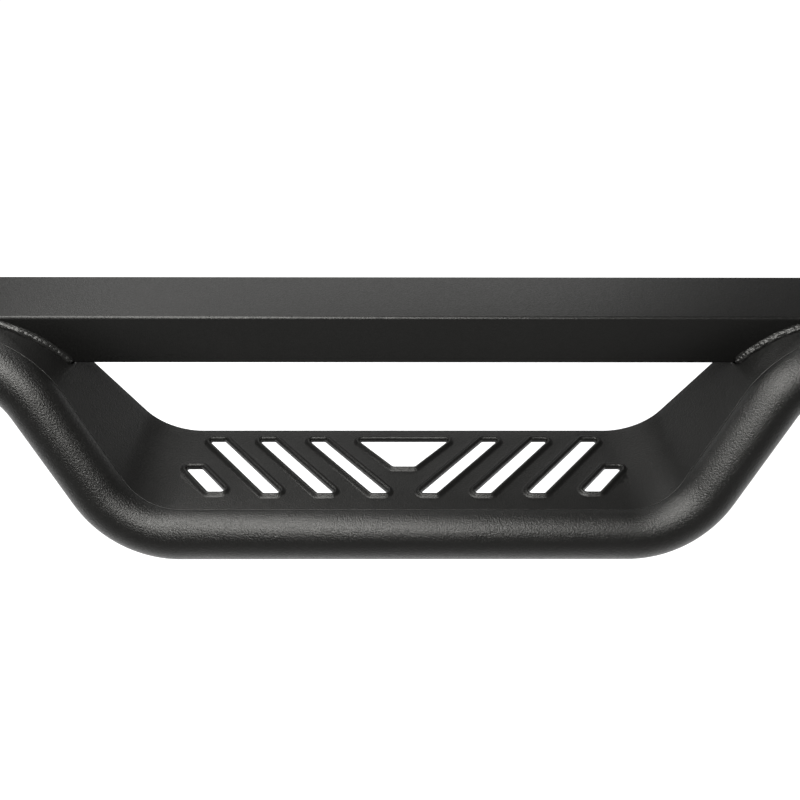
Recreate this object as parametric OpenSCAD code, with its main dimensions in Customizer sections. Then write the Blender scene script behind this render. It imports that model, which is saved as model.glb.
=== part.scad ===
// Running board with two drop steps: a rectangular main tube carries two bent round
// hoops, each floored by a slotted step plate, and bolts to the vehicle on three brackets.
// X runs along the board, -Y points away from the vehicle, +Z is up.
// The origin is the centre of the middle bracket's bolt pattern, on its vehicle-side face.

/* [Main tube] */
// Overall length of the rectangular tube
board_length = 2100; // [1950:10:2400]
// Depth of the rectangular tube, front to back
tube_depth = 76.2; // [70:0.1:80]
// Height of the rectangular tube
tube_height = 50.8; // [48:0.1:55]
// Wall thickness of the rectangular tube
tube_wall = 3; // [2:0.1:4]
// Outer corner radius of the rectangular tube
tube_corner_r = 3.6; // [3.5:0.1:5]

/* [Step hoops] */
// Distance between the centres of the two steps
hoop_spacing = 1000; // [960:5:1040]
// Outside diameter of the hoop tube
hoop_od = 50.8; // [48:0.1:51]
// Wall thickness of the hoop tube
hoop_wall = 2.6; // [2:0.1:4]
// Width between the theoretical lower corners of the hoop's centre line
hoop_width = 520.4; // [500:0.2:540]
// Height from the hoop's lower centre line to its upper one
hoop_drop = 153; // [140:0.5:165]
// Distance the lower run stands out in front of the upper runs
hoop_outset = 70.3; // [60:0.1:80]
// Angle of each hoop bend
bend_angle = 60; // [55:0.5:62]
// Centre line radius of each hoop bend
bend_radius = 87; // [80:0.5:95]
// Straight run at each upper end of a hoop
hoop_end_run = 40; // [30:1:45]

/* [Step plate] */
// Sheet thickness of the step plate
plate_t = 3; // [2:0.1:4]
// Height of the plate's top face above the hoop's centre line
plate_rise = 24.8; // [24:0.1:25]
// Distance the plate's free edge reaches back under the main tube
plate_reach = 23.2; // [15:0.1:30]
// Top face radius of the two lower bends
plate_lower_r = 64; // [55:0.5:66]
// Top face radius of the two upper bends
plate_upper_r = 114; // [105:0.5:120]

/* [Slots] */
// Slot width, measured along the board
slot_width = 17.8; // [16:0.1:21]
// Distance from one slot to the next
slot_pitch = 51.6; // [50:0.1:53]
// Distance from the step's centre to the middle of the first slot
slot_first_x = 52.5; // [52:0.1:54]
// Lean of each slot away from the direction across the board
slot_lean = 41.4; // [40:0.1:43]
// Corner radius of the slots
slot_corner_r = 3; // [2.5:0.1:4]
// Height of the raised lip round each slot
lip_height = 2.8; // [1.5:0.1:3]
// Width of the raised lip round each slot
lip_width = 3; // [2:0.1:3.5]

/* [Brackets] */
// Width of each bracket
bracket_width = 90; // [84:1:110]
// Sheet thickness of each bracket
bracket_t = 5; // [4:0.5:6]
// Distance from the centre of the board to each outer bracket
bracket_x = 972; // [966:1:978]
// Gap between the main tube and the vehicle's mounting face
stand_off = 45; // [40:1:60]
// Distance from the bolt pattern down to the underside of the main tube
mount_drop = 105; // [100:1:120]
// Distance between the two slotted holes
mount_spacing = 50; // [46:1:52]
// End-to-end length of a slotted hole
mount_slot_length = 20; // [18:0.5:22]
// Half the width of a slotted hole
mount_slot_r = 5.5; // [5.3:0.1:6]

/* [Hidden] */
$fn = 64;
eps = 1;
tube_back_y = -stand_off;
tube_front_y = tube_back_y - tube_depth;
tube_bottom_z = -mount_drop;
half_length = board_length / 2;

hoop_r = hoop_od / 2;
hoop_bore_r = hoop_r - hoop_wall;
hoop_top_z = tube_height / 2;
hoop_low_z = hoop_top_z - hoop_drop;
hoop_top_y = -hoop_r;
hoop_low_y = hoop_top_y - hoop_outset;
hoop_tilt = atan(hoop_outset / hoop_drop);
hoop_rise = norm([hoop_drop, hoop_outset]);
bend_tangent = bend_radius * tan(bend_angle / 2);
low_corner_x = hoop_width / 2;
high_corner_x = low_corner_x + hoop_rise / tan(bend_angle);
low_run_x = low_corner_x - bend_tangent;
high_run_x = high_corner_x + bend_tangent;
leg_run = hoop_rise / sin(bend_angle) - 2 * bend_tangent;
hoop_end_x = high_run_x + hoop_end_run;
end_disc_t = 3;
// A formed bend is fuller than the straights beside it, which run a little way into it.
bend_swell = 0.25;
bend_lap = 1;

plate_angle = atan(tan(bend_angle) * cos(hoop_tilt));
plate_shift = plate_rise * tan(plate_angle / 2);
plate_low_z = hoop_low_z + plate_rise;
plate_high_z = hoop_top_z + plate_rise;
plate_low_x = low_corner_x - plate_shift - plate_lower_r * tan(plate_angle / 2);
plate_high_x = high_corner_x - plate_shift + plate_upper_r * tan(plate_angle / 2);
plate_end_x = plate_high_x + 24;
plate_depth = plate_reach - hoop_low_y + hoop_r;
bend_steps = 12;

seam_offset = 8.5;
seam_steps = 8;
corner_steps = 5;
slot_top_y = 7.9;
slot_bottom_y = -69.5;
slot_mid_y = -35;
short_top_y = -33;
short_bottom_y = -67.6;
centre_bottom_y = -33;
centre_top_half = 48.6;
centre_bottom_half = 10.6;

weld_r = 4;
weld_start_z = 2;
stitch_r = 3;
stitch_length = 60;
stitch_pitch = 130;

flange_t = 1.5;
foot_top_z = tube_bottom_z - flange_t;
foot_low_z = foot_top_z - bracket_t;
foot_front_y = tube_front_y + 12;
bracket_bend_r = 8;
bracket_high_z = 26;
web_t = 4;
web_height = 78;
bolt_r = 4.9;
bolt_length = 25;
bolt_y = [tube_front_y + 22, tube_back_y - 22];
nut_bore_r = 5.1;
nut_r = 6.4;
nut_hole_r = 6.5;
washer_t = 2;
lock_t = 2.5;
head_h = 6.4;
head_af = 16;
cap_t = 4;
cap_depth = 25;
cap_wall = 2.5;
cap_gap = 0.3;

step_x = [-hoop_spacing / 2, hoop_spacing / 2];
bracket_at = [-bracket_x, 0, bracket_x];

coat = [0.09, 0.09, 0.09];
coat_step = [0.11, 0.11, 0.11];
weld_grey = [0.14, 0.14, 0.14];
plastic = [0.05, 0.05, 0.05];
zinc = [0.65, 0.65, 0.62];

// ---------- shared shapes ----------

// Rectangle centred on the origin with rounded corners.
module rounded_box(w, h, r) {
    square([w - 2 * r, h], center = true);
    square([w, h - 2 * r], center = true);
    for (sx = [-1, 1], sy = [-1, 1])
        translate([sx * (w / 2 - r), sy * (h / 2 - r)])
            circle(r);
}

// Unit vector from a to b.
function toward(a, b) = (b - a) / norm(b - a);

// Sum of the unit vectors along the two edges at corner i of outline p.
function corner_sum(p, i) =
    toward(p[i], p[(i + 1) % len(p)]) + toward(p[i], p[(i + len(p) - 1) % len(p)]);

// Sine of the corner angle at corner i of outline p.
function corner_sine(p, i) =
    abs(cross(toward(p[i], p[(i + 1) % len(p)]), toward(p[i], p[(i + len(p) - 1) % len(p)])));

// Outline p moved outward by d.
function grown(p, d) = [for (i = [0:len(p) - 1]) p[i] - corner_sum(p, i) * d / corner_sine(p, i)];

// Centre of the rounding of radius r at corner i of outline p.
function round_centre(p, i, r) = p[i] + corner_sum(p, i) * r / corner_sine(p, i);

// Direction, in degrees, from corner i of outline p to its neighbour s places on.
function heading(p, i, s) =
    let (v = p[(i + s) % len(p)] - p[i]) atan2(v[1], v[0]);

// Points of convex outline p, taken anticlockwise, with its corners rounded to radius r.
function rounded(p, r) = [for (i = [0:len(p) - 1])
    let (start = heading(p, i, len(p) - 1) + 90,
        turn = (heading(p, i, 1) - 90 - start + 720) % 360)
    for (k = [0:corner_steps])
        round_centre(p, i, r) + r * [cos(start + turn * k / corner_steps), sin(start + turn * k / corner_steps)]];

// Quarter disc filling the corner between +X and +Y.
module quarter_disc(r) {
    intersection() {
        circle(r);
        square(r);
    }
}

// Moves a shape made about the front lower edge of the main tube to step number i.
module at_step(i) {
    translate([step_x[i], tube_front_y, tube_bottom_z])
        children();
}

// ---------- main tube and caps ----------

// Turns a YZ section into a bar running along X from x0.
module along_x(x0, length) {
    translate([x0, 0, 0])
        rotate([90, 0, 90])
            linear_extrude(length)
                children();
}

module main_tube() {
    color(coat)
        difference() {
            translate([0, tube_back_y - tube_depth / 2, tube_bottom_z + tube_height / 2])
                difference() {
                    along_x(-half_length, board_length)
                        rounded_box(tube_depth, tube_height, tube_corner_r);
                    along_x(-half_length - eps, board_length + 2 * eps)
                        rounded_box(tube_depth - 2 * tube_wall, tube_height - 2 * tube_wall,
                            tube_corner_r - tube_wall);
                }
            for (x = bracket_at, y = bolt_y)
                translate([x, y, tube_bottom_z - eps])
                    cylinder(r = nut_hole_r, h = tube_wall + 2 * eps);
        }
}

// Moulded plug: an outer face, a hollow insert and two gripping ribs.
module end_cap(side) {
    plug_w = tube_depth - 2 * tube_wall - 2 * cap_gap;
    plug_h = tube_height - 2 * tube_wall - 2 * cap_gap;
    color(plastic)
        translate([side * half_length, tube_back_y - tube_depth / 2, tube_bottom_z + tube_height / 2])
            mirror([side > 0 ? 0 : 1, 0, 0]) {
                along_x(0, cap_t)
                    rounded_box(tube_depth, tube_height, tube_corner_r);
                difference() {
                    union() {
                        along_x(-cap_depth, cap_depth)
                            rounded_box(plug_w - 1, plug_h - 1, 2);
                        for (x = [-8, -16])
                            along_x(x, 2)
                                rounded_box(plug_w, plug_h, 2);
                    }
                    along_x(-cap_depth - eps, cap_depth + eps)
                        rounded_box(plug_w - 2 * cap_wall, plug_h - 2 * cap_wall, 1.5);
                }
            }
}

module front_end_cap() {
    end_cap(-1);
}

module rear_end_cap() {
    end_cap(1);
}

// ---------- hoops ----------

// One bend of the tube, starting a0 degrees round from +X.
module hoop_bend(r, a0) {
    rotate([0, 0, a0])
        rotate_extrude(angle = bend_angle)
            translate([bend_radius, 0])
                circle(r + bend_swell);
}

// Right-hand side of the hoop drawn flat: lower bend, leg, upper bend and end run.
module hoop_side(r, extra) {
    translate([low_run_x, bend_radius, 0])
        hoop_bend(r, -90);
    translate([low_run_x + bend_radius * sin(bend_angle), bend_radius * (1 - cos(bend_angle)), 0])
        rotate([0, 90, bend_angle])
            translate([0, 0, -bend_lap])
                rotate([0, 0, 90])
                    cylinder(r = r, h = leg_run + 2 * bend_lap);
    translate([high_run_x, hoop_rise - bend_radius, 0])
        hoop_bend(r, 90);
    translate([high_run_x - bend_lap, hoop_rise, 0])
        rotate([0, 90, 0])
            rotate([0, 0, 90])
                cylinder(r = r, h = hoop_end_run + bend_lap + extra);
}

// The whole hoop as a solid bar of radius r, standing in its tilted plane.
module hoop_bar(r, extra) {
    translate([0, hoop_low_y, hoop_low_z])
        rotate([90 - hoop_tilt, 0, 0]) {
            rotate([0, 90, 0])
                rotate([0, 0, 90])
                    cylinder(r = r, h = 2 * (low_run_x + bend_lap), center = true);
            hoop_side(r, extra);
            mirror([1, 0, 0])
                hoop_side(r, extra);
        }
}

module hoop_tube(i) {
    color(coat)
        at_step(i)
            difference() {
                hoop_bar(hoop_r, 0);
                hoop_bar(hoop_bore_r, eps);
            }
}

// Steel discs that close the hoop's two ends.
module hoop_discs(i) {
    color(coat)
        at_step(i)
            for (side = [-1, 1])
                translate([side * (hoop_end_x + end_disc_t / 2), hoop_top_y, hoop_top_z])
                    rotate([0, 90, 0])
                        cylinder(r = hoop_r, h = end_disc_t, center = true);
}

module front_hoop_tube() {
    hoop_tube(0);
}

module rear_hoop_tube() {
    hoop_tube(1);
}

module front_hoop_discs() {
    hoop_discs(0);
}

module rear_hoop_discs() {
    hoop_discs(1);
}

// ---------- step plates ----------

// Right half of the sheet's section line, a depth d below the top face.
function section_half(d) = concat(
    [for (k = [0:bend_steps])
        let (a = plate_angle * k / bend_steps)
        [plate_low_x + (plate_lower_r + d) * sin(a),
            plate_low_z + plate_lower_r - (plate_lower_r + d) * cos(a)]],
    [for (k = [bend_steps:-1:0])
        let (a = plate_angle * k / bend_steps)
        [plate_high_x - (plate_upper_r - d) * sin(a),
            plate_high_z - plate_upper_r + (plate_upper_r - d) * cos(a)]],
    [[plate_end_x, plate_high_z - d]]);

// Section line over the whole width, from left to right.
function section_line(d) =
    let (half = section_half(d), last = len(half) - 1)
    concat([for (k = [last:-1:0]) [-half[k][0], half[k][1]]], half);

// The bent sheet before it is trimmed.
module bent_sheet() {
    top = section_line(0);
    under = section_line(plate_t);
    translate([0, plate_reach, 0])
        rotate([90, 0, 0])
            linear_extrude(plate_depth)
                polygon(concat(top, [for (k = [len(under) - 1:-1:0]) under[k]]));
}

// Point of the hoop's centre line on its lower bend, a degrees round from the flat.
function low_bend_at(a) =
    [low_run_x + bend_radius * sin(a), bend_radius * (1 - cos(a)), a];

// Point of the hoop's centre line on its upper bend, where its direction is still a degrees.
function high_bend_at(a) =
    [high_run_x - bend_radius * sin(a), hoop_rise - bend_radius * (1 - cos(a)), a];

// Where the plate's top face meets the hoop beside centre line point q, seen from above.
function seam_at(q) =
    let (dir = [cos(q[2]), sin(q[2]) * sin(hoop_tilt), sin(q[2]) * cos(hoop_tilt)],
        slope = atan2(dir[2], dir[0]),
        flat_run = norm([dir[0], dir[2]]))
    [q[0] - plate_rise * sin(slope) - seam_offset * dir[1] * cos(slope),
        hoop_low_y + q[1] * sin(hoop_tilt) + seam_offset * flat_run];

// Outline of the sheet seen from above, right half, from the free edge round to the seam.
function seam_half() = concat(
    [for (k = [1:seam_steps]) seam_at(low_bend_at(bend_angle * (k - 0.5) / seam_steps))],
    [for (k = [seam_steps:-1:1]) seam_at(high_bend_at(bend_angle * (k - 0.5) / seam_steps))],
    [[plate_end_x + eps, hoop_top_y + seam_offset]]);

module plate_outline() {
    right = seam_half();
    count = len(right);
    polygon(concat(
        [[-plate_end_x - eps, plate_reach + eps]],
        [for (k = [count - 1:-1:0]) [-right[k][0], right[k][1]]],
        right,
        [[plate_end_x + eps, plate_reach + eps]]));
}

// Corners of leaning slot number j on the right-hand side, between two Y values.
function slot_corners(j, high_y, low_y) =
    let (mid = slot_first_x + slot_pitch * j,
        high_x = mid + (high_y - slot_mid_y) * tan(slot_lean),
        low_x = mid + (low_y - slot_mid_y) * tan(slot_lean),
        half = slot_width / 2)
    [[low_x - half, low_y], [low_x + half, low_y], [high_x + half, high_y], [high_x - half, high_y]];

function slot_outline(j) =
    j < 3 ? slot_corners(j, slot_top_y, slot_bottom_y) : slot_corners(j, short_top_y, short_bottom_y);

centre_outline = [[-centre_bottom_half, centre_bottom_y], [centre_bottom_half, centre_bottom_y],
    [centre_top_half, slot_top_y], [-centre_top_half, slot_top_y]];

// The nine openings, each outline grown by d.
module slot_field(d) {
    polygon(rounded(grown(centre_outline, d), slot_corner_r + d));
    for (side = [0, 1], j = [0:3])
        mirror([side, 0])
            polygon(rounded(grown(slot_outline(j), d), slot_corner_r + d));
}

module step_plate(i) {
    color(coat_step)
        at_step(i)
            difference() {
                union() {
                    intersection() {
                        bent_sheet();
                        translate([0, 0, plate_low_z - plate_t - eps])
                            linear_extrude(plate_high_z - plate_low_z + plate_t + 2 * eps)
                                plate_outline();
                    }
                    translate([0, 0, plate_low_z - plate_t / 2])
                        linear_extrude(plate_t / 2 + lip_height)
                            slot_field(lip_width);
                }
                translate([0, 0, plate_low_z - plate_t - eps])
                    linear_extrude(plate_t + lip_height + 2 * eps)
                        slot_field(0);
                translate([-plate_end_x - 2 * eps, 0, 0])
                    cube([2 * plate_end_x + 4 * eps, plate_reach + 2 * eps, plate_high_z + eps]);
                hoop_bar(hoop_r, 0);
            }
}

module front_step_plate() {
    step_plate(0);
}

module rear_step_plate() {
    step_plate(1);
}

// ---------- welds ----------

// Fillet bead where the plate's wing meets the front face of the main tube.
module plate_weld(i, side) {
    drop_ratio = (plate_high_z - weld_start_z) / plate_upper_r;
    weld_angle = min(plate_angle, acos(1 - drop_ratio));
    color(weld_grey)
        at_step(i)
            mirror([side > 0 ? 0 : 1, 0, 0])
                translate([plate_high_x, 0, plate_high_z - plate_upper_r])
                    rotate([90, 0, 0])
                        rotate([0, 0, 90])
                            rotate_extrude(angle = weld_angle)
                                translate([plate_upper_r, 0])
                                    quarter_disc(weld_r);
}

// Bead in the groove under a hoop's end run, where it lies against the main tube.
module hoop_weld(i, side) {
    groove = 2 * sqrt(hoop_r * weld_r);
    color(weld_grey)
        at_step(i)
            translate([side * (high_run_x + hoop_end_run / 2), -weld_r, hoop_top_z - groove])
                rotate([0, 90, 0])
                    cylinder(r = weld_r, h = hoop_end_run, center = true);
}

// Short beads under the step, between the plate's underside and the hoop.
module stitch_welds(i) {
    down = plate_rise - plate_t - stitch_r;
    out = sqrt((hoop_r + stitch_r) ^ 2 - down ^ 2);
    color(weld_grey)
        at_step(i)
            for (k = [-1, 0, 1])
                translate([k * stitch_pitch, hoop_low_y + out, hoop_low_z + down])
                    rotate([0, 90, 0])
                        cylinder(r = stitch_r, h = stitch_length, center = true);
}

module front_plate_weld_fore() {
    plate_weld(0, -1);
}

module front_plate_weld_aft() {
    plate_weld(0, 1);
}

module rear_plate_weld_fore() {
    plate_weld(1, -1);
}

module rear_plate_weld_aft() {
    plate_weld(1, 1);
}

module front_hoop_weld_fore() {
    hoop_weld(0, -1);
}

module front_hoop_weld_aft() {
    hoop_weld(0, 1);
}

module rear_hoop_weld_fore() {
    hoop_weld(1, -1);
}

module rear_hoop_weld_aft() {
    hoop_weld(1, 1);
}

module front_stitch_welds() {
    stitch_welds(0);
}

module rear_stitch_welds() {
    stitch_welds(1);
}

// ---------- brackets and fasteners ----------

// One slotted hole through the upright, centred at x.
module slotted_hole(x) {
    reach = mount_slot_length / 2 - mount_slot_r;
    translate([x, eps, 0])
        rotate([90, 0, 0]) {
            for (s = [-1, 1])
                translate([s * reach, 0, 0])
                    cylinder(r = mount_slot_r, h = bracket_t + 2 * eps);
            translate([-reach, -mount_slot_r, 0])
                cube([2 * reach, 2 * mount_slot_r, bracket_t + 2 * eps]);
        }
}

// Formed bracket: foot under the tube, bend, upright, and a web down each side.
module bracket(x) {
    outer_r = bracket_bend_r + bracket_t;
    color(coat)
        translate([x, 0, 0])
            difference() {
                union() {
                    translate([-bracket_width / 2, foot_front_y, foot_low_z])
                        cube([bracket_width, -outer_r - foot_front_y, bracket_t]);
                    translate([-bracket_width / 2, -outer_r, foot_low_z + outer_r])
                        rotate([90, 0, 90])
                            rotate([0, 0, -90])
                                rotate_extrude(angle = 90)
                                    translate([bracket_bend_r, 0])
                                        square([bracket_t, bracket_width]);
                    translate([-bracket_width / 2, -bracket_t, foot_low_z + outer_r])
                        cube([bracket_width, bracket_t, bracket_high_z - foot_low_z - outer_r]);
                    for (s = [-1, 1])
                        translate([s * (bracket_width - web_t) / 2 - web_t / 2, 0, 0])
                            rotate([90, 0, 90])
                                linear_extrude(web_t)
                                    polygon([[tube_back_y + 4, foot_low_z + bracket_t / 2],
                                        [-outer_r, foot_low_z + bracket_t / 2],
                                        [-bracket_t / 2, foot_low_z + outer_r],
                                        [-bracket_t / 2, foot_top_z + web_height],
                                        [-bracket_t - 6, foot_top_z + web_height],
                                        [tube_back_y + 4, foot_top_z + 22]]);
                }
                for (s = [-1, 1])
                    slotted_hole(s * mount_spacing / 2);
                for (y = bolt_y)
                    translate([0, y, foot_low_z - eps])
                        cylinder(r = nut_hole_r - 1, h = bracket_t + 2 * eps);
            }
}

// Places a fastener, made about its own axis, at both holes of the foot at x.
module at_foot(x, z) {
    for (y = bolt_y)
        translate([x, y, z])
            children();
}

// Rivet nut: flange outside the tube wall, body through it and a crimped collar inside.
module rivet_nuts(x) {
    color(zinc)
        at_foot(x, tube_bottom_z)
            difference() {
                union() {
                    translate([0, 0, -flange_t])
                        cylinder(r = nut_r + 2.6, h = flange_t);
                    translate([0, 0, -flange_t])
                        cylinder(r = nut_r, h = 19);
                    translate([0, 0, tube_wall])
                        cylinder(r = nut_r + 2, h = 4);
                }
                translate([0, 0, -flange_t - eps])
                    cylinder(r = nut_bore_r, h = 19 + 2 * eps);
            }
}

module flat_washers(x) {
    color(zinc)
        at_foot(x, foot_low_z - washer_t)
            difference() {
                cylinder(r = 10, h = washer_t);
                translate([0, 0, -eps])
                    cylinder(r = 5.4, h = washer_t + 2 * eps);
            }
}

// Split spring washer.
module lock_washers(x) {
    color(zinc)
        at_foot(x, foot_low_z - washer_t - lock_t)
            difference() {
                cylinder(r = 8.8, h = lock_t);
                translate([0, 0, -eps])
                    cylinder(r = 5.3, h = lock_t + 2 * eps);
                rotate([0, 0, 35])
                    translate([0, -0.8, -eps])
                        cube([12, 1.6, lock_t + 2 * eps]);
            }
}

module bolts(x) {
    color(zinc)
        at_foot(x, foot_low_z - washer_t - lock_t - head_h) {
            cylinder(r = head_af / 2 / cos(30), h = head_h, $fn = 6);
            cylinder(r = bolt_r, h = head_h + bolt_length);
        }
}

module front_bracket() {
    bracket(bracket_at[0]);
}

module middle_bracket() {
    bracket(bracket_at[1]);
}

module rear_bracket() {
    bracket(bracket_at[2]);
}

module front_rivet_nuts() {
    rivet_nuts(bracket_at[0]);
}

module middle_rivet_nuts() {
    rivet_nuts(bracket_at[1]);
}

module rear_rivet_nuts() {
    rivet_nuts(bracket_at[2]);
}

module front_flat_washers() {
    flat_washers(bracket_at[0]);
}

module middle_flat_washers() {
    flat_washers(bracket_at[1]);
}

module rear_flat_washers() {
    flat_washers(bracket_at[2]);
}

module front_lock_washers() {
    lock_washers(bracket_at[0]);
}

module middle_lock_washers() {
    lock_washers(bracket_at[1]);
}

module rear_lock_washers() {
    lock_washers(bracket_at[2]);
}

module front_bolts() {
    bolts(bracket_at[0]);
}

module middle_bolts() {
    bolts(bracket_at[1]);
}

module rear_bolts() {
    bolts(bracket_at[2]);
}

main_tube();
front_end_cap();
rear_end_cap();
front_hoop_tube();
front_hoop_discs();
front_step_plate();
front_plate_weld_fore();
front_plate_weld_aft();
front_hoop_weld_fore();
front_hoop_weld_aft();
front_stitch_welds();
rear_hoop_tube();
rear_hoop_discs();
rear_step_plate();
rear_plate_weld_fore();
rear_plate_weld_aft();
rear_hoop_weld_fore();
rear_hoop_weld_aft();
rear_stitch_welds();
front_bracket();
front_rivet_nuts();
front_flat_washers();
front_lock_washers();
front_bolts();
middle_bracket();
middle_rivet_nuts();
middle_flat_washers();
middle_lock_washers();
middle_bolts();
rear_bracket();
rear_rivet_nuts();
rear_flat_washers();
rear_lock_washers();
rear_bolts();
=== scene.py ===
"""Looks for the running board: a rectangular main tube with two drop steps on bolt-on brackets."""

import math

import bmesh
import bpy
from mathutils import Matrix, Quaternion, Vector, geometry, noise


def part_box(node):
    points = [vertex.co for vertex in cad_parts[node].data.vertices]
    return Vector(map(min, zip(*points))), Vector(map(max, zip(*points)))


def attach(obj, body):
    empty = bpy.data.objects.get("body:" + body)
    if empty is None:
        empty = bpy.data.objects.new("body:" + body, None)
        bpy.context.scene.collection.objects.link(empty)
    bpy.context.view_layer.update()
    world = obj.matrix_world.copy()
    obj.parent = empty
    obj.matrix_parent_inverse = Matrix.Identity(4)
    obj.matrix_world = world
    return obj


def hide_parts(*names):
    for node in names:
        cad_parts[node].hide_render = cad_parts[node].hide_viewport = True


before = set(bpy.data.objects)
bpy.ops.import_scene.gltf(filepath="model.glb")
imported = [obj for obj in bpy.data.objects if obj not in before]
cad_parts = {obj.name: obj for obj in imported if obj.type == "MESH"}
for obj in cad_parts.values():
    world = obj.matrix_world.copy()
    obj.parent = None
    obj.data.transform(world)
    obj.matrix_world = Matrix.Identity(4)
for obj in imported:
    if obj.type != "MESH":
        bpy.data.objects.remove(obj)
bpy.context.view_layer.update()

MM = 0.001

# ---------- sizes shared with the CAD model ----------

TUBE_WALL = 3 * MM
HOOP_R = 25.4 * MM
BEND_SWELL = 0.25 * MM
BEND_RADIUS = 87 * MM
BEND_ANGLE = math.radians(60)
END_RUN = 40 * MM
PLATE_T = 3 * MM
PLATE_RISE = 24.8 * MM
PLATE_REACH = 23.2 * MM

SLOT_WIDTH = 17.8 * MM
SLOT_PITCH = 51.6 * MM
SLOT_FIRST = 52.5 * MM
SLOT_LEAN = math.tan(math.radians(41.4))
SLOT_MID_Y = -35 * MM
LONG_SLOT = (7.9 * MM, -69.5 * MM)
SHORT_SLOT = (-33 * MM, -67.6 * MM)
CENTRE_SLOT = (7.9 * MM, -33 * MM)
CENTRE_HALF = (48.6 * MM, 10.6 * MM)

# ---------- sizes of the visual model only ----------

# The CAD model's tube corners (3.6 mm), slot corners (3 mm) and seam offset (8.5 mm) differ from these.
TUBE_CORNER = 2.9 * MM
BORE_CORNER = 0.5 * MM
SLOT_CORNER = 2.6 * MM
SEAM_OFFSET = 5.5 * MM
SEAM_TUCK = 2.5 * MM
SEAM_EDGE = 0.55 * MM
# Distance from the step's middle at which the slotted sheet gives way to the plain wings.
WING_START = 232 * MM
# Share of the lower run beyond which the slotted sheet takes inner points, to follow the bend.
BEND_FILL = 0.93
FILL_CLEARANCE = 1.5 * MM
# The wings reach this far up past the tube's lower edge before they stop at its front wall.
NOTCH_RISE = 2 * MM
TUBE_INSIDE = 1.5 * MM
EDGE_ROUND = 0.7 * MM
PLATE_ROWS = 10

WING_BEAD_R = 5.6 * MM
WING_BEAD_RISE = 46 * MM
UNDER_BEAD_R = 3.6 * MM
HOOP_BEAD_R = 7 * MM
HOOP_BEAD_PITCH = 3.4 * MM
STITCH_BEAD_R = 4.4 * MM
STITCH_BEAD_PITCH = 3.1 * MM
STITCH_LENGTH = 60 * MM
STITCH_SHIFT = 1.8 * MM
BEAD_PITCH = 4.3 * MM
BEAD_STEP = 0.3 * MM
STITCH_STEP = 0.4 * MM
BEAD_RUN_IN = 5 * MM
BEAD_END = 0.45
BEAD_LAP = 0.3
RIPPLE_LEAD = 3.4 * MM
RIPPLE_WANDER = 2.4 * MM

tube_low, tube_high = [Vector(c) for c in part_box("main_tube")]
FRONT_Y = tube_low.y
TUBE_BOTTOM = tube_low.z
TUBE_TOP = tube_high.z
STEPS = {}
for name in ("front", "rear"):
    low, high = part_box(name + "_hoop_tube")
    STEPS[name] = {
        "x": (low[0] + high[0]) / 2,
        "low_y": low[1] + HOOP_R + BEND_SWELL,
        "low_z": low[2] + HOOP_R + BEND_SWELL,
        "half": (high[0] - low[0]) / 2,
    }

HOOP_TOP_Y = FRONT_Y - HOOP_R
HOOP_TOP_Z = (TUBE_BOTTOM + TUBE_TOP) / 2
RISE_Y = HOOP_TOP_Y - STEPS["front"]["low_y"]
RISE_Z = HOOP_TOP_Z - STEPS["front"]["low_z"]
TILT = math.atan2(RISE_Y, RISE_Z)
RISE = math.hypot(RISE_Y, RISE_Z)
BEND_TANGENT = BEND_RADIUS * math.tan(BEND_ANGLE / 2)
HIGH_RUN_X = STEPS["front"]["half"] - END_RUN
LOW_RUN_X = HIGH_RUN_X - 2 * BEND_TANGENT - RISE / math.tan(BEND_ANGLE)
LEG = RISE / math.sin(BEND_ANGLE) - 2 * BEND_TANGENT


# ---------- materials ----------

PEBBLE_SCALE = 620
SPECK_SCALE = 1500
CLOUD_SCALE = 9


def new_material(name, colour, roughness, metallic=0.0):
    mat = bpy.data.materials.new(name)
    mat.use_nodes = True
    shader = mat.node_tree.nodes["Principled BSDF"]
    shader.inputs["Base Color"].default_value = (*colour, 1)
    shader.inputs["Roughness"].default_value = roughness
    shader.inputs["Metallic"].default_value = metallic
    shader.inputs["Specular IOR Level"].default_value = 0.4
    return mat, mat.node_tree, shader


def add(tree, kind, **values):
    node = tree.nodes.new(kind)
    for key, value in values.items():
        if key in node.inputs:
            node.inputs[key].default_value = value
        else:
            setattr(node, key, value)
    return node


def noise_node(tree, coords, scale, detail=2.0, roughness=0.5):
    node = add(tree, "ShaderNodeTexNoise", Scale=scale, Detail=detail, Roughness=roughness)
    tree.links.new(coords.outputs["Object"], node.inputs["Vector"])
    return node


def ramp_between(tree, source, low, high, from_min=0.0, from_max=1.0):
    node = add(tree, "ShaderNodeMapRange")
    node.inputs["From Min"].default_value = from_min
    node.inputs["From Max"].default_value = from_max
    node.inputs["To Min"].default_value = low
    node.inputs["To Max"].default_value = high
    tree.links.new(source, node.inputs["Value"])
    return node


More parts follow.
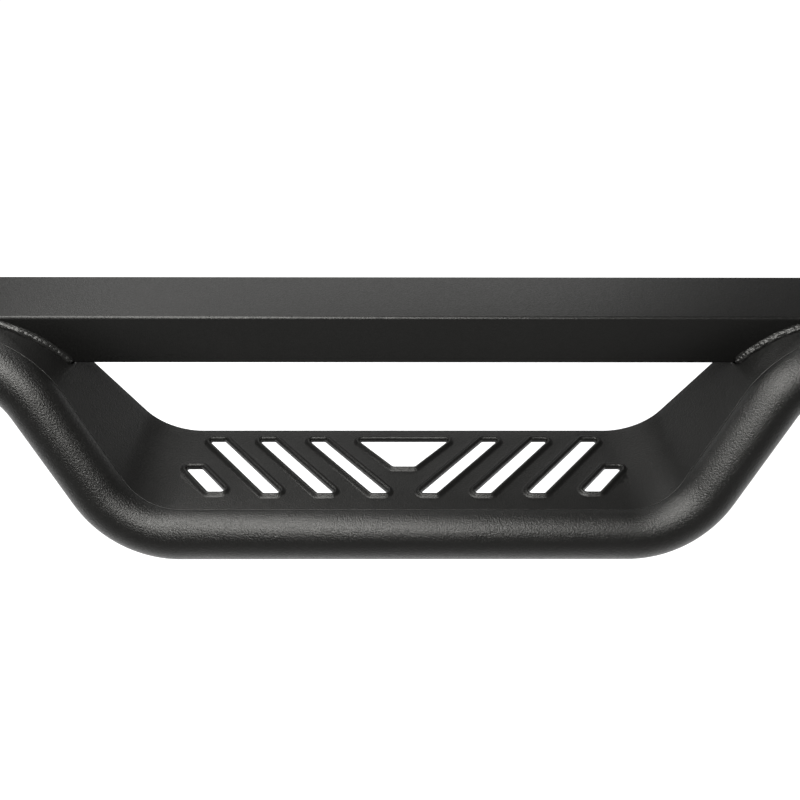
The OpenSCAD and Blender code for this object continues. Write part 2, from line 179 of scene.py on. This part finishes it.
def powder_coat(name, shade, roughness, grain=1.0, size=1.0, sheen=0.4):
    """Fine-textured black powder coat: pebbled grain, finer specks and slow, faint unevenness."""
    mat, tree, shader = new_material(name, (shade, shade, shade), roughness)
    coords = add(tree, "ShaderNodeTexCoord")
    pebble = noise_node(tree, coords, PEBBLE_SCALE / size, 2.0, 0.6)
    fine = noise_node(tree, coords, SPECK_SCALE / size, 2.0, 0.7)
    cloud = noise_node(tree, coords, CLOUD_SCALE, 3.0, 0.5)
    tone = ramp_between(tree, cloud.outputs["Fac"], 0.9, 1.1, 0.3, 0.7)
    speck = ramp_between(tree, fine.outputs["Fac"], 0.75, 1.3, 0.35, 0.65)
    tint = add(tree, "ShaderNodeMixRGB", blend_type="MULTIPLY")
    tint.inputs["Fac"].default_value = 1.0
    tint.inputs["Color1"].default_value = (shade * 1.03, shade * 1.02, shade * 0.97, 1)
    tree.links.new(tone.outputs["Result"], tint.inputs["Color2"])
    specks = add(tree, "ShaderNodeMixRGB", blend_type="MULTIPLY")
    specks.inputs["Fac"].default_value = 1.0
    tree.links.new(tint.outputs["Color"], specks.inputs["Color1"])
    tree.links.new(speck.outputs["Result"], specks.inputs["Color2"])
    tree.links.new(specks.outputs["Color"], shader.inputs["Base Color"])
    gloss = ramp_between(tree, pebble.outputs["Fac"], roughness - 0.06, roughness + 0.08, 0.3, 0.7)
    tree.links.new(gloss.outputs["Result"], shader.inputs["Roughness"])
    shader.inputs["Specular IOR Level"].default_value = sheen
    shader.inputs["Specular Tint"].default_value = (1.0, 0.99, 0.95, 1)
    bump = add(tree, "ShaderNodeBump", Strength=0.8 * grain, Distance=0.0006)
    tree.links.new(pebble.outputs["Fac"], bump.inputs["Height"])
    bump_fine = add(tree, "ShaderNodeBump", Strength=0.5 * grain, Distance=0.00018)
    tree.links.new(fine.outputs["Fac"], bump_fine.inputs["Height"])
    tree.links.new(bump.outputs["Normal"], bump_fine.inputs["Normal"])
    tree.links.new(bump_fine.outputs["Normal"], shader.inputs["Normal"])
    return mat


def moulded_plastic(name):
    """Matte black plastic with a fine moulded grain."""
    mat, tree, shader = new_material(name, (0.012, 0.012, 0.012), 0.55)
    coords = add(tree, "ShaderNodeTexCoord")
    grain = noise_node(tree, coords, 1400, 3.0, 0.6)
    bump = add(tree, "ShaderNodeBump", Strength=0.4, Distance=0.0001)
    tree.links.new(grain.outputs["Fac"], bump.inputs["Height"])
    tree.links.new(bump.outputs["Normal"], shader.inputs["Normal"])
    gloss = ramp_between(tree, grain.outputs["Fac"], 0.48, 0.64, 0.3, 0.7)
    tree.links.new(gloss.outputs["Result"], shader.inputs["Roughness"])
    return mat


def zinc_plate(name):
    """Zinc-plated steel, cloudy and lightly scratched."""
    mat, tree, shader = new_material(name, (0.55, 0.55, 0.53), 0.34, 1.0)
    coords = add(tree, "ShaderNodeTexCoord")
    cloud = noise_node(tree, coords, 160, 4.0, 0.6)
    tone = ramp_between(tree, cloud.outputs["Fac"], 0.85, 1.1, 0.3, 0.7)
    tint = add(tree, "ShaderNodeMixRGB", blend_type="MULTIPLY")
    tint.inputs["Fac"].default_value = 1.0
    tint.inputs["Color1"].default_value = (0.55, 0.55, 0.52, 1)
    tree.links.new(tone.outputs["Result"], tint.inputs["Color2"])
    tree.links.new(tint.outputs["Color"], shader.inputs["Base Color"])
    gloss = ramp_between(tree, cloud.outputs["Fac"], 0.26, 0.46, 0.3, 0.7)
    tree.links.new(gloss.outputs["Result"], shader.inputs["Roughness"])
    scratch = noise_node(tree, coords, 1800, 2.0, 0.6)
    bump = add(tree, "ShaderNodeBump", Strength=0.12, Distance=0.00005)
    tree.links.new(scratch.outputs["Fac"], bump.inputs["Height"])
    tree.links.new(bump.outputs["Normal"], shader.inputs["Normal"])
    return mat


TUBE_COAT = powder_coat("tube_coat", 0.0045, 0.4, 0.5, 1.0, 0.34)
HOOP_COAT = powder_coat("hoop_coat", 0.0045, 0.35, 1.1, 0.9)
PLATE_COAT = powder_coat("plate_coat", 0.0045, 0.4, 0.7, 1.0, 0.29)
WELD_COAT = powder_coat("weld_coat", 0.006, 0.36, 0.5)
BRACKET_COAT = powder_coat("bracket_coat", 0.006, 0.42, 0.5)
CAP_PLASTIC = moulded_plastic("cap_plastic")
ZINC = zinc_plate("zinc")


# ---------- mesh helpers ----------

def finished(name, bm, material, slot, *nodes, smooth_angle=35):
    """Turns a bmesh into a smooth-shaded piece that rides on the board and replaces CAD nodes."""
    bmesh.ops.remove_doubles(bm, verts=bm.verts, dist=1e-6)
    bmesh.ops.recalc_face_normals(bm, faces=bm.faces)
    limit = math.radians(smooth_angle)
    for face in bm.faces:
        face.smooth = True
    for edge in bm.edges:
        edge.smooth = len(edge.link_faces) == 2 and edge.calc_face_angle(0) < limit
    mesh = bpy.data.meshes.new(name)
    bm.to_mesh(mesh)
    bm.free()
    obj = bpy.data.objects.new(name, mesh)
    bpy.context.scene.collection.objects.link(obj)
    mesh.materials.append(material)
    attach(obj, "root")
    if nodes:
        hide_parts(*nodes)
    return obj


def loft(bm, rings, closed=True):
    """Skins a list of rings, each a list of points."""
    made = [[bm.verts.new(p) for p in ring] for ring in rings]
    count = len(rings[0])
    span = count if closed else count - 1
    for a, b in zip(made, made[1:]):
        for i in range(span):
            j = (i + 1) % count
            bm.faces.new((a[i], a[j], b[j], b[i]))
    return made


def rounded_rect(width, height, radius, steps=10):
    """Points of a rounded rectangle centred on the origin."""
    points = []
    corners = ((1, 1, 0), (-1, 1, 90), (-1, -1, 180), (1, -1, 270))
    for sx, sy, start in corners:
        for k in range(steps + 1):
            a = math.radians(start + 90 * k / steps)
            points.append((
                sx * (width / 2 - radius) + radius * math.cos(a),
                sy * (height / 2 - radius) + radius * math.sin(a),
            ))
    return points


# ---------- main tube ----------

def main_tube():
    """Rectangular tube with smooth rolled corners and a bored inside."""
    mid_y = (tube_low.y + tube_high.y) / 2
    mid_z = (tube_low.z + tube_high.z) / 2
    width = tube_high.y - tube_low.y
    height = tube_high.z - tube_low.z
    outer = rounded_rect(width, height, TUBE_CORNER)
    inner = rounded_rect(width - 2 * TUBE_WALL, height - 2 * TUBE_WALL, BORE_CORNER)
    bm = bmesh.new()
    rings = []
    sections = 40
    for k in range(sections + 1):
        x = tube_low.x + (tube_high.x - tube_low.x) * k / sections
        rings.append([(x, mid_y + y, mid_z + z) for y, z in outer])
    for x in (tube_high.x, tube_low.x):
        rings.append([(x, mid_y + y, mid_z + z) for y, z in inner])
    made = loft(bm, rings)
    for i in range(len(outer)):
        j = (i + 1) % len(outer)
        bm.faces.new((made[-1][i], made[-1][j], made[0][j], made[0][i]))
    return finished("main_tube_body", bm, TUBE_COAT, "tube_coat", "main_tube")


# ---------- hoops ----------

def hoop_half(bend_steps=28):
    """Right half of the centre line, flat in its own plane: (along, up, direction angle)."""
    points = []
    for k in range(9):
        points.append((LOW_RUN_X * k / 8, 0.0, 0.0))
    for k in range(1, bend_steps + 1):
        a = BEND_ANGLE * k / bend_steps
        points.append((LOW_RUN_X + BEND_RADIUS * math.sin(a), BEND_RADIUS * (1 - math.cos(a)), a))
    along, up, a = points[-1]
    for k in range(1, 7):
        run = LEG * k / 6
        points.append((along + run * math.cos(a), up + run * math.sin(a), a))
    for k in range(bend_steps - 1, -1, -1):
        a = BEND_ANGLE * k / bend_steps
        points.append((HIGH_RUN_X - BEND_RADIUS * math.sin(a), RISE - BEND_RADIUS * (1 - math.cos(a)), a))
    points.append((HIGH_RUN_X + END_RUN, RISE, 0.0))
    return points


def hoop_line():
    """The whole centre line from left to right."""
    half = hoop_half()
    left = [(-u, s, -a) for u, s, a in reversed(half[1:])]
    return left + half


def in_plane(step, along, up):
    """A point of the hoop's tilted plane, in the shared frame."""
    return Vector((
        step["x"] + along,
        step["low_y"] + up * math.sin(TILT),
        step["low_z"] + up * math.cos(TILT),
    ))


def hoop_tube(name, step):
    """Bent round tube, closed at both ends."""
    segments = 96
    rings = []
    out_of_plane = Vector((0, math.cos(TILT), -math.sin(TILT)))
    for along, up, a in hoop_line():
        centre = in_plane(step, along, up)
        side = Vector((-math.sin(a), math.cos(a) * math.sin(TILT), math.cos(a) * math.cos(TILT)))
        rings.append([
            centre + HOOP_R * (math.cos(t) * side + math.sin(t) * out_of_plane)
            for t in (2 * math.pi * k / segments for k in range(segments))
        ])
    bm = bmesh.new()
    made = loft(bm, rings)
    for ring in (made[0], made[-1]):
        bm.faces.new(ring)
    return finished(name + "_hoop_body", bm, HOOP_COAT, "tube_coat", name + "_hoop_tube")


# ---------- step plates ----------

def sheet_line(shift=SEAM_OFFSET - SEAM_TUCK):
    """Top face of the plate, right half.

    Each point is (x, z above the hoop's lower centre line, seam y, normal x, normal z).
    """
    line = []
    for along, up, a in hoop_half():
        run = math.cos(a)
        lift = math.sin(a) * math.cos(TILT)
        flat = math.hypot(run, lift)
        nx, nz = -lift / flat, run / flat
        x = along + PLATE_RISE * nx - shift * math.sin(a) * math.sin(TILT) * run / flat
        y = up * math.sin(TILT) + shift * flat
        z = up * math.cos(TILT) + PLATE_RISE * nz - shift * math.sin(a) * math.sin(TILT) * lift / flat
        line.append((x, z, y, nx, nz))
    return line


def corner_points(outline, grow, steps=7):
    """Points round a convex anticlockwise outline, corners rounded, moved outward by grow."""
    points = []
    count = len(outline)
    radius = SLOT_CORNER + grow
    for i, corner in enumerate(outline):
        before = (outline[i - 1] - corner).normalized()
        after = (outline[(i + 1) % count] - corner).normalized()
        sine = abs(before.x * after.y - before.y * after.x)
        centre = corner + (before + after) * (SLOT_CORNER / sine)
        start = math.atan2(before.y, before.x) + math.pi / 2
        turn = (math.atan2(after.y, after.x) - math.pi / 2 - start) % (2 * math.pi)
        for k in range(steps + 1):
            a = start + turn * k / steps
            points.append(centre + radius * Vector((math.cos(a), math.sin(a))))
    return points


def slot_outlines():
    """The nine openings, each an anticlockwise list of corners."""
    outlines = [[
        Vector((-CENTRE_HALF[1], CENTRE_SLOT[1])),
        Vector((CENTRE_HALF[1], CENTRE_SLOT[1])),
        Vector((CENTRE_HALF[0], CENTRE_SLOT[0])),
        Vector((-CENTRE_HALF[0], CENTRE_SLOT[0])),
    ]]
    for j in range(4):
        top, bottom = SHORT_SLOT if j == 3 else LONG_SLOT
        mid = SLOT_FIRST + SLOT_PITCH * j
        high = mid + (top - SLOT_MID_Y) * SLOT_LEAN
        low = mid + (bottom - SLOT_MID_Y) * SLOT_LEAN
        half = SLOT_WIDTH / 2
        right = [
            Vector((low - half, bottom)),
            Vector((low + half, bottom)),
            Vector((high + half, top)),
            Vector((high - half, top)),
        ]
        outlines.append(right)
        outlines.append([Vector((-p.x, p.y)) for p in (right[1], right[0], right[3], right[2])])
    return outlines


# Section of the pressed lip, from the foot of the opening's wall out to the flat sheet:
# (distance out from the opening, height above the sheet), both in millimetres.
LIP = [
    (0, -3), (0, -0.2), (0.1, 0.57), (0.4, 1.3), (0.88, 1.92), (1.5, 2.4), (2.2, 2.69), (2.85, 2.78),
    (3.15, 2.66), (3.5, 2.36), (4.1, 1.8), (4.7, 1.22), (5.2, 0.78), (5.7, 0.4), (6.2, 0.15),
    (6.7, 0.03), (7.2, 0),
]


def sheet_at(line, x):
    """Height and seam distance of the sheet at a distance along the board from the step's middle."""
    for (x0, z0, y0, _, _), (x1, z1, y1, _, _) in zip(line, line[1:]):
        if x <= x1:
            t = max(0.0, (x - x0) / (x1 - x0))
            return z0 + (z1 - z0) * t, y0 + (y1 - y0) * t
    return line[-1][1], line[-1][2]


def inside(point, ring):
    """Whether a flat point lies within a closed ring of points."""
    hit = False
    for a, b in zip(ring, ring[1:] + ring[:1]):
        if (a.y > point.y) != (b.y > point.y):
            if point.x < a.x + (b.x - a.x) * (point.y - a.y) / (b.y - a.y):
                hit = not hit
    return hit


def step_plate(name, step):
    """Pressed sheet: bent section, free edge rolled smooth, and nine slots with raised lips."""
    bm = bmesh.new()
    line = sheet_line()
    split = next(k for k, p in enumerate(line) if p[0] > WING_START)
    wing = line[split:]
    half_x = wing[0][0]
    free_y = PLATE_REACH - EDGE_ROUND
    to_front = step["low_y"] - FRONT_Y
    notch_z = TUBE_BOTTOM - step["low_z"] + NOTCH_RISE

    def place(x, y, z):
        return (step["x"] + x, FRONT_Y + y, step["low_z"] + z)

    def on_sheet(p, height):
        return place(p.x, p.y, sheet_at(line, abs(p.x))[0] + height)

    def fill(depth, rings):
        """Triangulates the slotted part at one depth below the top face, leaving the rings open."""
        stations = [-p[0] for p in reversed(line[1:split + 1])] + [p[0] for p in line[:split + 1]]
        seam = [Vector((x, to_front + sheet_at(line, abs(x))[1])) for x in stations]
        free = [Vector((x, free_y)) for x in reversed(stations)]
        low = seam[0].y
        border = seam + [
            Vector((half_x, low + (free_y - low) * k / PLATE_ROWS)) for k in range(1, PLATE_ROWS)
        ]
        border += free + [
            Vector((-half_x, free_y + (low - free_y) * k / PLATE_ROWS)) for k in range(1, PLATE_ROWS)
        ]
        verts = list(border)
        edges = [(i, (i + 1) % len(border)) for i in range(len(border))]
        for ring in rings:
            start = len(verts)
            verts += ring
            edges += [(start + i, start + (i + 1) % len(ring)) for i in range(len(ring))]
        for x in stations:
            if LOW_RUN_X * BEND_FILL < abs(x) < half_x - 1e-5:
                for k in range(1, 2 * PLATE_ROWS):
                    p = Vector((x, low + (free_y - low) * k / (2 * PLATE_ROWS)))
                    clear = all(min((p - q).length for q in ring) > FILL_CLEARANCE for ring in rings)
                    if clear and not any(inside(p, ring) for ring in rings) and inside(p, border):
                        verts.append(p)
        out_v, _, out_f, _, _, _ = geometry.delaunay_2d_cdt(verts, edges, [], 0, 1e-9)
        made = [bm.verts.new(on_sheet(v, -depth)) for v in out_v]
        for face in out_f:
            middle = sum((out_v[i] for i in face), Vector((0, 0))) / len(face)
            if inside(middle, border) and not any(inside(middle, ring) for ring in rings):
                bm.faces.new([made[i] for i in face])

    outlines = slot_outlines()
    for outline in outlines:
        loft(bm, [
            [on_sheet(p, height * MM) for p in corner_points(outline, out * MM)]
            for out, height in LIP
        ])
    fill(0.0, [corner_points(o, LIP[-1][0] * MM) for o in outlines])
    fill(PLATE_T, [corner_points(o, 0.0) for o in outlines])

    # Wings: strips across the sheet, from the seam to the free edge or to the main tube.
    for side in (-1, 1):
        for depth in (0.0, PLATE_T):
            below, above = [], []
            for i, (x, z, y, nx, nz) in enumerate(wing):
                if i == 0:
                    nx, nz = 0.0, 1.0
                group, high = (above, TUBE_INSIDE) if z > notch_z else (below, free_y)
                group.append((side * (x - nx * depth), to_front + y, high, z - nz * depth))
            x, low, _, z = below[-1]
            for group in (below, [(x, low, TUBE_INSIDE, z)] + above):
                loft(bm, [
                    [place(x, low + (high - low) * k / PLATE_ROWS, z) for k in range(PLATE_ROWS + 1)]
                    for x, low, high, z in group
                ], closed=False)

    # The sheet's cut edge stands a hair proud of the hoop along the seam.
    right = [Vector((x, to_front + y, z)) for x, z, y, _, _ in sheet_line(SEAM_OFFSET)]
    seam = [Vector((-p.x, p.y, p.z)) for p in reversed(right[1:])] + right
    rings = []
    for i, p in enumerate(seam):
        along = (seam[min(i + 1, len(seam) - 1)] - seam[max(i - 1, 0)]).normalized()
        across = Vector((0, 1, 0)).cross(along).normalized()
        out = along.cross(across)
        rings.append([
            place(*(p + SEAM_EDGE * (math.cos(t) * across + math.sin(t) * out)))
            for t in (2 * math.pi * k / 10 for k in range(10))
        ])
    loft(bm, rings)

    # Free edge, rounded from the top face to the underside.
    for side in (-1, 1):
        rail = [(x, z, 0.0, 1.0) for x, z, _, _, _ in line[:split + 1]]
        rail += [(x, z, nx, nz) for x, z, _, nx, nz in wing[1:] if z <= notch_z]
        loft(bm, [
            [place(side * (x - nx * d), free_y + e, z - nz * d) for e, d in edge_section(EDGE_ROUND)]
            for x, z, nx, nz in rail
        ], closed=False)
    return finished(
        name + "_step_sheet", bm, PLATE_COAT, "plate_coat", name + "_step_plate", smooth_angle=50,
    )


def edge_section(radius, steps=5):
    """Section of a sheet edge with both corners rounded: (distance out, depth below the top face)."""
    section = []
    for k in range(steps + 1):
        a = math.pi / 2 * k / steps
        section.append((radius * math.sin(a), radius * (1 - math.cos(a))))
    for k in range(steps + 1):
        a = math.pi / 2 * k / steps
        section.append((radius * math.cos(a), PLATE_T - radius + radius * math.sin(a)))
    return section


# ---------- welds ----------

def bead(name, path, radius, nodes, seed, pitch=BEAD_PITCH):
    """Rippled weld bead along a path of (point, out direction, up direction)."""
    segments = 18
    rings = []
    run = 0.0
    last = path[0][0]
    total = sum((b[0] - a[0]).length for a, b in zip(path, path[1:]))
    for point, out, up in path:
        run += (point - last).length
        last = point
        ends = min(1.0, BEAD_END + run / BEAD_RUN_IN, BEAD_END + (total - run) / BEAD_RUN_IN)
        swell = 1 + 0.10 * noise.noise((run * 70, seed, 5))
        ring = []
        for k in range(segments + 1):
            t = -BEAD_LAP + (math.pi / 2 + 2 * BEAD_LAP) * k / segments
            mid = math.sin(min(1.0, max(0.0, t / (math.pi / 2))) * math.pi)
            phase = run - RIPPLE_LEAD * mid + RIPPLE_WANDER * noise.noise((run * 110, seed, 1))
            ripple = abs(math.sin(math.pi * phase / pitch)) ** 0.8
            streak = noise.noise((run * 190, t * 5.5, seed))
            r = radius * (0.86 + 0.05 * ripple + 0.09 * streak) * swell * ends
            ring.append(point + r * (math.cos(t) * out + math.sin(t) * up))
        rings.append(ring)
    bm = bmesh.new()
    made = loft(bm, rings, closed=False)
    for ring in (made[0], made[-1]):
        bm.faces.new(ring)
    return finished(name, bm, WELD_COAT, "weld_coat", *nodes, smooth_angle=70)


def resampled(points, spacing):
    """Points spaced evenly along a polyline of vectors."""
    out = [points[0].copy()]
    need = spacing
    for a, b in zip(points, points[1:]):
        length = (b - a).length
        while length > 0 and need <= length:
            out.append(a.lerp(b, need / length))
            need += spacing
        need -= length
    return out


def plate_welds(name, step):
    """Beads where the plate's wings climb the front face of the main tube, turned under its lower edge."""
    line = sheet_line()
    rise = TUBE_BOTTOM - step["low_z"]
    for side, end in ((-1, "fore"), (1, "aft")):
        spine = [
            Vector((step["x"] + side * x, FRONT_Y, step["low_z"] + z))
            for x, z, _, _, _ in line if rise - MM < z < rise + WING_BEAD_RISE
        ]
        points = resampled(spine, BEAD_STEP)
        path = []
        for i, point in enumerate(points):
            ahead = (points[min(i + 1, len(points) - 1)] - points[max(i - 1, 0)]).normalized()
            up = Vector((-ahead.z, 0, ahead.x)) * side
            path.append((point, Vector((0, -1, 0)), up))
        bead(f"{name}_wing_bead_{end}", path, WING_BEAD_R, [f"{name}_plate_weld_{end}"], 3.7 * side)
        foot = points[0]
        under = [Vector((foot.x, FRONT_Y + BEAD_STEP * k, TUBE_BOTTOM)) for k in range(-8, 34)]
        path = [(p, Vector((0, 0, -1)), Vector((-side, 0, 0))) for p in under]
        bead(f"{name}_under_bead_{end}", path, UNDER_BEAD_R, [], 8.1 * side)


def hoop_welds(name, step):
    """Beads along the hoop's end runs, where they touch the main tube."""
    for side, end in ((-1, "fore"), (1, "aft")):
        low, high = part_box(f"{name}_hoop_weld_{end}")
        y, z = high[1], low[2]
        count = int((high[0] - low[0] - 2 * MM) / BEAD_STEP)
        path = [
            (Vector((low[0] + MM + BEAD_STEP * k, y, z)), Vector((0, 0, 1)), Vector((0, -1, 0)))
            for k in range(count)
        ]
        nodes = [f"{name}_hoop_weld_{end}"]
        bead(f"{name}_hoop_bead_{end}", path, HOOP_BEAD_R, nodes, 5.3 * side, HOOP_BEAD_PITCH)


def stitch_welds(name, step):
    """Three short beads under the plate, along the hoop."""
    low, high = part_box(name + "_stitch_welds")
    y, z = (low[1] + high[1]) / 2, (low[2] + high[2]) / 2
    nodes = [name + "_stitch_welds"]
    half = STITCH_LENGTH / 2
    for k, x in enumerate((low[0] + half, (low[0] + high[0]) / 2, high[0] - half)):
        points = [
            Vector((x - half + STITCH_STEP * i, y - STITCH_SHIFT, z + STITCH_SHIFT))
            for i in range(int(STITCH_LENGTH / STITCH_STEP))
        ]
        path = [(p, Vector((0, 0, -1)), Vector((0, 1, 0))) for p in points]
        bead(f"{name}_stitch_bead_{k}", path, STITCH_BEAD_R, nodes, 2.9 * k, STITCH_BEAD_PITCH)


# ---------- assembly ----------

main_tube()
for name, step in STEPS.items():
    hoop_tube(name, step)
    step_plate(name, step)
    plate_welds(name, step)
    hoop_welds(name, step)
    stitch_welds(name, step)


def dress(node, material):
    """Gives a CAD node one material."""
    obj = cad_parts[node]
    obj.data.materials.clear()
    obj.data.materials.append(material)


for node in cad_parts:
    if node.endswith("_end_cap"):
        dress(node, CAP_PLASTIC)
    elif node.endswith(("_rivet_nuts", "_flat_washers", "_lock_washers", "_bolts")):
        dress(node, ZINC)
    elif node.endswith("_bracket"):
        dress(node, BRACKET_COAT)
    elif "_weld" in node:
        dress(node, WELD_COAT)
    else:
        dress(node, TUBE_COAT)


# ---------- studio ----------

# The floor's glow is painted light: bright behind and under the board, dim in front of it, faded across
# the span in y given below.
PAPER_GLOW = 1.05
PAPER_FRONT_GLOW = 0.25
PAPER_SIZE = 11
PAPER_DROP = 0.75
GLOW_FADE = (-0.9, -0.3)
WORLD_HORIZON = 0.24
WORLD_TOP = 0.05
SOFTBOX_POWER = 58
FRONT_POWER = 13
BACK_POWER = 29
LENS = 33.5
SENSOR = 36
CAMERA_SHIFT = (-7.35 * MM, -571.6 * MM, 408.7 * MM)
CAMERA_DOWN = math.radians(38.365)
CAMERA_TURN = math.radians(-0.34)
CAMERA_ROLL = math.radians(0.226)


def panel(name, place, aim, size_x, size_y, power):
    """Soft rectangular light at a place, facing a point."""
    light = bpy.data.lights.new(name, "AREA")
    light.shape = "RECTANGLE"
    light.size = size_x
    light.size_y = size_y
    light.energy = power
    obj = bpy.data.objects.new(name, light)
    obj.location = place
    obj.rotation_euler = (Vector(aim) - Vector(place)).to_track_quat("-Z", "Y").to_euler()
    bpy.context.scene.collection.objects.link(obj)


def paper_floor():
    """Paper floor that glows white with painted light, the glow fading to dim in front of the board."""
    bm = bmesh.new()
    bmesh.ops.create_grid(bm, x_segments=24, y_segments=24, size=PAPER_SIZE)
    mesh = bpy.data.meshes.new("paper_floor")
    bm.to_mesh(mesh)
    bm.free()
    obj = bpy.data.objects.new("paper_floor", mesh)
    obj.location = (0, 0, TUBE_BOTTOM - PAPER_DROP)
    bpy.context.scene.collection.objects.link(obj)
    mat, tree, shader = new_material("paper", (0.3, 0.3, 0.3), 0.95)
    shader.inputs["Emission Color"].default_value = (1, 1, 1, 1)
    coords = add(tree, "ShaderNodeTexCoord")
    split = add(tree, "ShaderNodeSeparateXYZ")
    tree.links.new(coords.outputs["Object"], split.inputs["Vector"])
    # Painted light: the emission makes the floor glow bright behind the board and dim in front of it.
    glow = ramp_between(tree, split.outputs["Y"], PAPER_FRONT_GLOW, PAPER_GLOW, *GLOW_FADE)
    tree.links.new(glow.outputs["Result"], shader.inputs["Emission Strength"])
    mesh.materials.append(mat)


def studio():
    """Paper floor, dim sky and three softboxes round the front step."""
    scene = bpy.context.scene
    scene.view_settings.view_transform = "Standard"
    world = bpy.data.worlds.new("studio")
    scene.world = world
    world.use_nodes = True
    tree = world.node_tree
    back = tree.nodes["Background"]
    back.inputs["Color"].default_value = (1, 1, 1, 1)
    coords = add(tree, "ShaderNodeTexCoord")
    split = add(tree, "ShaderNodeSeparateXYZ")
    tree.links.new(coords.outputs["Generated"], split.inputs["Vector"])
    sky = ramp_between(tree, split.outputs["Z"], WORLD_HORIZON, WORLD_TOP, 0.05, 0.5)
    tree.links.new(sky.outputs["Result"], back.inputs["Strength"])
    paper_floor()
    middle = STEPS["front"]["x"]
    aim = (middle - 0.15, -0.2, -0.1)
    panel("overhead_softbox", (middle - 0.5, -0.38, 1.2), aim, 2.3, 0.7, SOFTBOX_POWER)
    aim = (middle, -0.2, -0.1)
    panel("front_softbox", (middle - 0.1, -1.05, 1.15), aim, 1.3, 0.3, FRONT_POWER)
    aim = (middle - 0.1, 0.0, -0.1)
    panel("back_softbox", (middle - 0.3, 2.9, 1.7), aim, 3.4, 1.7, BACK_POWER)


def camera():
    """Above and in front of the front step, looking down at it."""
    scene = bpy.context.scene
    data = bpy.data.cameras.new("camera")
    data.sensor_width = SENSOR
    data.lens = LENS
    obj = bpy.data.objects.new("camera", data)
    obj.location = Vector((STEPS["front"]["x"], FRONT_Y, TUBE_BOTTOM)) + Vector(CAMERA_SHIFT)
    level = math.cos(CAMERA_DOWN)
    aim = Vector((
        -math.sin(CAMERA_TURN) * level,
        math.cos(CAMERA_TURN) * level,
        -math.sin(CAMERA_DOWN),
    ))
    obj.rotation_mode = "QUATERNION"
    obj.rotation_quaternion = aim.to_track_quat("-Z", "Y") @ Quaternion((0, 0, 1), CAMERA_ROLL)
    scene.collection.objects.link(obj)
    scene.camera = obj


studio()
camera()
